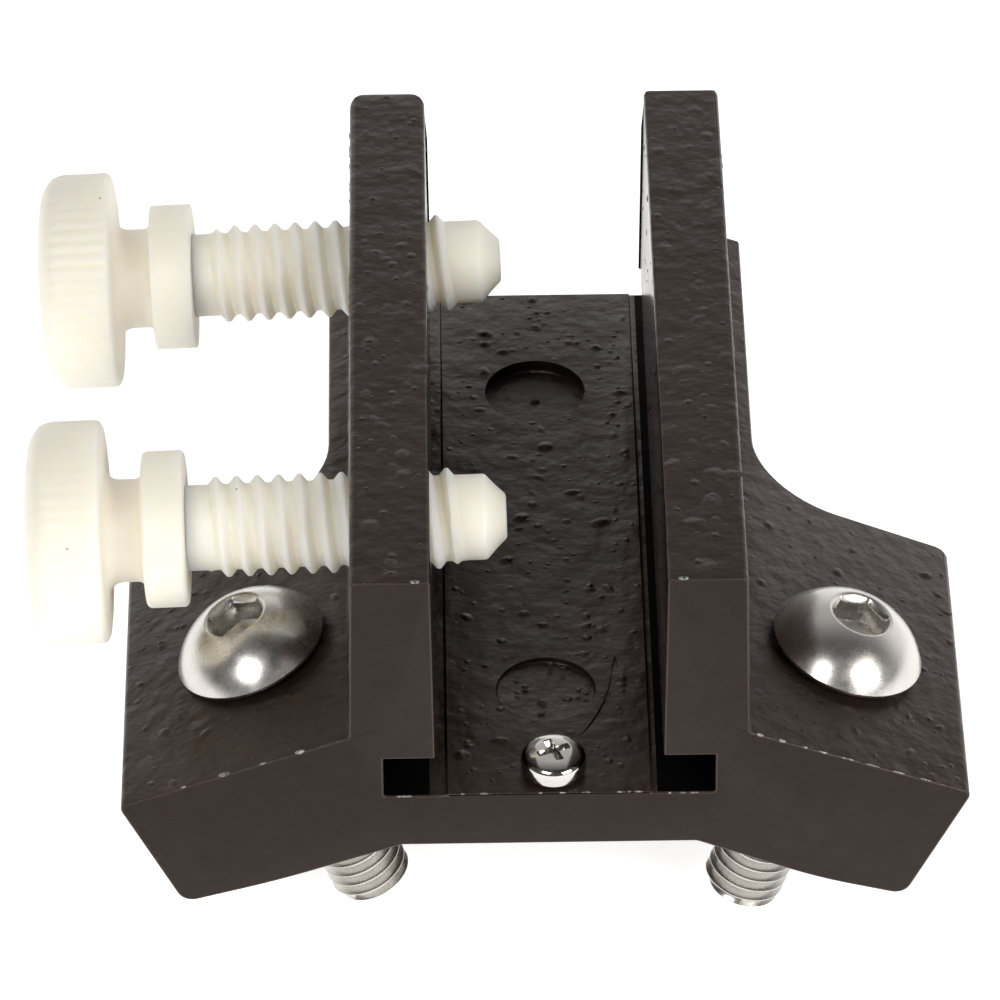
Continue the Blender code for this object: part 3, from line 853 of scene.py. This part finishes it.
def choose_edges(mesh):
    """Bevel the sharp edges, but not where a wall's rounded end runs out on the ledge."""
    bm = bmesh.new()
    bm.from_mesh(mesh)
    weight = bm.edges.layers.float.new("bevel_weight_edge")
    for edge in bm.edges:
        middle = (edge.verts[0].co + edge.verts[1].co) / 2 / MM
        sharp = len(edge.link_faces) == 2 and edge.calc_face_angle() > math.radians(40)
        low = middle.y > BACK - 2.6 and middle.z < WING_ROOT + 0.6
        run_out = low and 9.9 < abs(middle.x) < LEDGE_HALF - 0.2
        edge[weight] = 1.0 if sharp and not run_out else 0.0
    bm.to_mesh(mesh)
    bm.free()


def shape_casting(materials):
    """The outline drawn out to its length, trimmed, then bevelled along its sharp edges."""
    body = prism(base_outline(), lambda p: (p.x, FRONT, p.y), Vector((0, LENGTH, 0)))
    item = new_object("casting", body, materials)
    tools = [wing_trim(-1), wing_trim(1), top_trim()] + corner_trims(-1) + corner_trims(1)
    cut(item, tools)
    choose_edges(settle(item, tools))
    bevel = item.modifiers.new("edges", "BEVEL")
    bevel.width = EDGE_ROUND * MM
    bevel.segments = 3
    bevel.limit_method = "WEIGHT"
    bevel.use_clamp_overlap = False
    bevel.material = EDGE
    settle(item, [])
    return item


def make_base(materials):
    item = shape_casting(materials)
    tools = [pit_cutter(*pit) for pit in PITS] + [groove_cutter()]
    for side, along, depth, *_pose in BOLTS.values():
        tools.append(bar(wing_middle(side, along, depth), wing_normal(side), WING_HOLE, 14, 64))
    for place, *_rest in THUMBS.values():
        tools.append(bar((WALL_MIDDLE, FRONT + place, THUMB_HEIGHT), (1, 0, 0), THUMB_BORE, 8, 64))
    tools.append(bar((STOP_X, FRONT + STOP_DEPTH, 2), (0, 0, 1), STOP_HOLE, 8, 40))
    cut(item, tools)
    mesh = settle(item, tools)
    paint_faces(mesh)
    mesh.shade_smooth()
    mesh.set_sharp_from_angle(angle=SHARP)
    bm = bmesh.new()
    bm.from_mesh(mesh)
    add_pimples(bm)
    add_glint_beads(bm)
    bm.to_mesh(mesh)
    bm.free()
    return item


# ---------------------------------------------------------------- screws

def thumb_matrix(place, lean, turn):
    """Lays a screw drawn along Z through its hole in the wall."""
    spin = Matrix.Rotation(math.radians(turn), 4, "Z")
    tilt = Matrix.Rotation(math.radians(90 - lean), 4, "Y")
    return Matrix.Translation((WALL_MIDDLE, FRONT + place, THUMB_HEIGHT)) @ tilt @ spin


def knob_rings(rib):
    """The knurled knob, from its crowned face to the neck."""
    def knurled(shrink):
        def at(angle):
            wave = 0.5 - 0.5 * math.cos(KNOB_RIBS * angle)
            return KNOB_RADIUS - shrink - rib * wave ** 1.5
        return at

    crown = [(0.6, 0.0), (2.5, 0.03), (4.2, 0.12), (5.3, 0.3), (5.8, 0.45), (6.2, 0.7)]
    crown += [(knurled(0.28), 0.95), (knurled(0.1), 1.3), (knurled(0.0), 1.7)]
    back = [(knurled(0.0), 0.4), (knurled(0.05), 0.26), (knurled(0.15), 0.15), (6.4, 0.04), (6.1, 0.0)]
    rings = [(radius, KNOB_START + rise) for radius, rise in crown]
    return rings + [(radius, KNOB_END - drop) for radius, drop in back]


def make_thumbscrew(name, place, lean, turn, rib, collar, soft, material):
    rings = knob_rings(rib)
    rings += arc((4.02, KNOB_END + 0.9), 0.9, 270, 180, 6)
    rings += arc((3.62, COLLAR_START - 0.5), 0.5, 180, 90, 5)
    rings += arc((collar - soft, COLLAR_START + soft), soft, 270, 350, 5)
    rings += [(collar, -13.5)]
    rings += arc((collar - soft, COLLAR_END - soft), soft, 10, 90, 5)
    rings += [(2.9, COLLAR_END)]
    bm = lathe(rings, KNOB_RIBS * 6)
    loop = thread_rod(bm, THUMB_THREAD, COLLAR_END + 0.1, THUMB_THREAD_END, THUMB_TIP, 96, 0.35, 0.45)
    cone = [(2.59, 5.78), (2.53, 5.9), (1.9, 6.48), (1.42, 6.98)]
    close_up(bm, loop, cone + [(1.34, 7.05), (1.2, 7.09), (0.5, 7.1)])
    item = new_object(f"{name}_nylon_screw", bm, [material])
    place_mesh(item, thumb_matrix(place, lean, turn))
    return item


def place_mesh(item, matrix):
    """Move the mesh itself by a matrix in millimetres, so the object stays at the origin."""
    scale = Matrix.Scale(MM, 4)
    item.data.transform(scale @ matrix @ scale.inverted())


def dome(radius, height, flat, rim, steps):
    """A round head from its rim to its flat top, as (radius, height) points on a sphere."""
    middle = (flat**2 + height**2 - radius**2 - rim**2) / (2 * (height - rim))
    sphere = math.hypot(radius, rim - middle)
    points = []
    for k in range(steps + 1):
        level = rim + (height - rim) * math.sin(math.pi / 2 * k / steps)
        points.append((math.sqrt(sphere**2 - (level - middle) ** 2), level))
    return points


def hexagon(half):
    """The outline of a hexagon whose flats are half away from the middle."""
    def at(angle):
        return half / math.cos((angle + math.pi / 6) % (math.pi / 3) - math.pi / 6)
    return at


def cross(arm, half):
    """The outline of a cross: length of its arms, and half their width."""
    def at(angle):
        off = abs((angle + math.pi / 4) % (math.pi / 2) - math.pi / 4)
        return min(arm / math.cos(off), half / max(math.sin(off), 1e-6))
    return at


def add_rod(bm, rod):
    """Adds a rod drawn on its own to the head's mesh."""
    spare = bpy.data.meshes.new("rod")
    rod.to_mesh(spare)
    rod.free()
    bm.from_mesh(spare)
    bpy.data.meshes.remove(spare)


def make_bolt(name, side, along, depth, lean, lift, turn, material):
    seat = WING_THICK / 2 + lift
    rings = [(2.2, 0.0), (4.5, 0.0), (4.66, 0.04), (4.73, 0.14)]
    rings += dome(4.75, 2.75, 2.05, 0.3, 14)
    rings += [(1.95, 2.74), (1.86, 2.68), (hexagon(1.53), 2.36), (hexagon(1.5), 2.25), (hexagon(1.5), 0.95)]
    rings += [(1.3, 0.8), (0.1, 0.35)]
    rings = [(radius, seat + height) for radius, height in rings]
    bm = lathe(rings, 96)
    rod = bmesh.new()
    end = (BOLT_LENGTH, 2.1, 1.0)
    loop = thread_rod(rod, BOLT_THREAD, 0.0, 20.8, end, 64, 0.5, 0.05, cap=BOLT_LENGTH)
    rod.faces.new(loop)
    flip = Matrix.Rotation(math.pi, 4, "X")
    rod.transform(Matrix.Translation((0, 0, seat)) @ flip)
    add_rod(bm, rod)
    item = new_object(f"{name}_steel_bolt", bm, [material])
    lean_turn = Matrix.Rotation(side * (SLOPE - math.radians(lean)), 4, "Y")
    spin = Matrix.Rotation(math.radians(turn), 4, "Z")
    place_mesh(item, Matrix.Translation(wing_middle(side, along, depth)) @ lean_turn @ spin)
    return item


def make_stop_screw(material):
    rings = [(0.8, 0.0), (1.85, 0.0), (1.95, 0.04), (1.98, 0.12), (1.98, 0.62)]
    rings += arc((1.45, 0.7), 0.52, 0, 68, 8)
    rings += [(1.45, 1.27), (1.2, 1.34), (1.06, 1.37)]
    rings += [(cross(1.04, 0.26), 1.37), (cross(0.98, 0.21), 1.2), (cross(0.5, 0.17), 0.7), (0.1, 0.6)]
    bm = lathe(rings, 96)
    rod = bmesh.new()
    loop = thread_rod(rod, STOP_THREAD, 0.0, 3.0, (STOP_LENGTH, 0.7, 1.0), 32, 0.5, 0.3)
    close_up(rod, loop, [(0.65, STOP_LENGTH - 0.04), (0.2, STOP_LENGTH)])
    rod.transform(Matrix.Rotation(math.pi, 4, "X"))
    add_rod(bm, rod)
    item = new_object("stop_pan_screw", bm, [material])
    spin = Matrix.Rotation(math.radians(22), 4, "Z")
    place_mesh(item, Matrix.Translation((STOP_X, FRONT + STOP_DEPTH, FLOOR_TOP + STOP_LIFT)) @ spin)
    return item


# ---------------------------------------------------------------- stage, light and camera

def make_stage():
    """A wide floor just under the lowest point."""
    bm = bmesh.new()
    level = CAD_BOX[0][2] / MM - 0.05
    reach = 2000
    corners = ((-reach, -reach), (reach, -reach), (reach, reach), (-reach, reach))
    bm.faces.new([bm.verts.new((x, y, level)) for x, y in corners])
    floor = new_object("floor", bm, [pale_floor()])


def make_light(name, place, size, power, colour):
    """A square softbox that faces the origin."""
    data = bpy.data.lights.new(name, "AREA")
    data.shape = "SQUARE"
    data.size = size
    data.energy = power
    data.color = colour
    item = bpy.data.objects.new(name, data)
    item.location = place
    item.rotation_euler = (-Vector(place)).to_track_quat("-Z", "Y").to_euler()
    bpy.context.scene.collection.objects.link(item)


def make_world():
    """A room that is dark on the near side and overhead, and white low down at the far side."""
    world = bpy.data.worlds.new("studio")
    bpy.context.scene.world = world
    world.use_nodes = True
    tree = world.node_tree
    back = tree.nodes["Background"]
    coords = tree.nodes.new("ShaderNodeTexCoord")
    split = tree.nodes.new("ShaderNodeSeparateXYZ")
    tree.links.new(coords.outputs["Generated"], split.inputs[0])
    shares = []
    for axis, low, high, at_low, at_high in ((1, -0.25, 0.6, 0.10, 1.1), (2, 0.25, 0.7, 1.0, 0.5)):
        ramp = tree.nodes.new("ShaderNodeMapRange")
        ramp.interpolation_type = "SMOOTHSTEP"
        for name, number in (("From Min", low), ("From Max", high), ("To Min", at_low), ("To Max", at_high)):
            ramp.inputs[name].default_value = number
        tree.links.new(split.outputs[axis], ramp.inputs["Value"])
        shares.append(ramp.outputs["Result"])
    product = tree.nodes.new("ShaderNodeMath")
    product.operation = "MULTIPLY"
    tree.links.new(shares[0], product.inputs[0])
    tree.links.new(shares[1], product.inputs[1])
    tree.links.new(product.outputs[0], back.inputs["Strength"])
    back.inputs["Color"].default_value = (1.0, 0.99, 0.975, 1.0)


def make_camera():
    data = bpy.data.cameras.new("camera")
    data.lens = 277.4
    data.sensor_width = 36.0
    data.clip_start = 0.01
    item = bpy.data.objects.new("camera", data)
    right = Vector((0.9999, -0.0146, -0.0058))
    up = Vector((0.0136, 0.6182, 0.7859))
    forward = Vector((0.0079, 0.7859, -0.6183))
    turn = Matrix((right, up, -forward)).transposed().to_4x4()
    item.matrix_world = Matrix.Translation(Vector((-6.40, -378.26, 304.3)) * MM) @ turn
    bpy.context.scene.collection.objects.link(item)
    bpy.context.scene.camera = item


def main():
    paints = [rough_paint(), smooth_paint(), edge_paint(), slot_painted_shade(), painted_glint_metal(), shaded_wall_paint()]
    casting = make_base(paints)
    ivory = nylon()
    bright = steel("polished_steel", 0.24, 0.31)
    nickel = steel("bright_nickel", 0.10, 0.16)
    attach(casting, "base")
    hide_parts("base_casting")
    for name, sizes in THUMBS.items():
        screw = make_thumbscrew(name, *sizes, ivory)
        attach(screw, f"{name}_screw")
        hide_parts(f"{name}_thumbscrew")
    for name, sizes in BOLTS.items():
        bolt = make_bolt(name, *sizes, bright)
        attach(bolt, f"{name}_bolt")
        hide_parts(f"{name}_wing_screw")
    stop = make_stop_screw(nickel)
    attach(stop, "base")
    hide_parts("stop_screw")
    make_stage()
    make_world()
    make_light("left softbox", (-0.285, -0.545, 0.51), 0.3, 2.5, (1.0, 0.99, 0.98))
    make_light("right softbox", (0.51, -0.51, 0.37), 0.38, 3.8, (1.0, 0.975, 0.94))
    make_camera()
    bpy.context.scene.view_settings.view_transform = "Standard"


main()
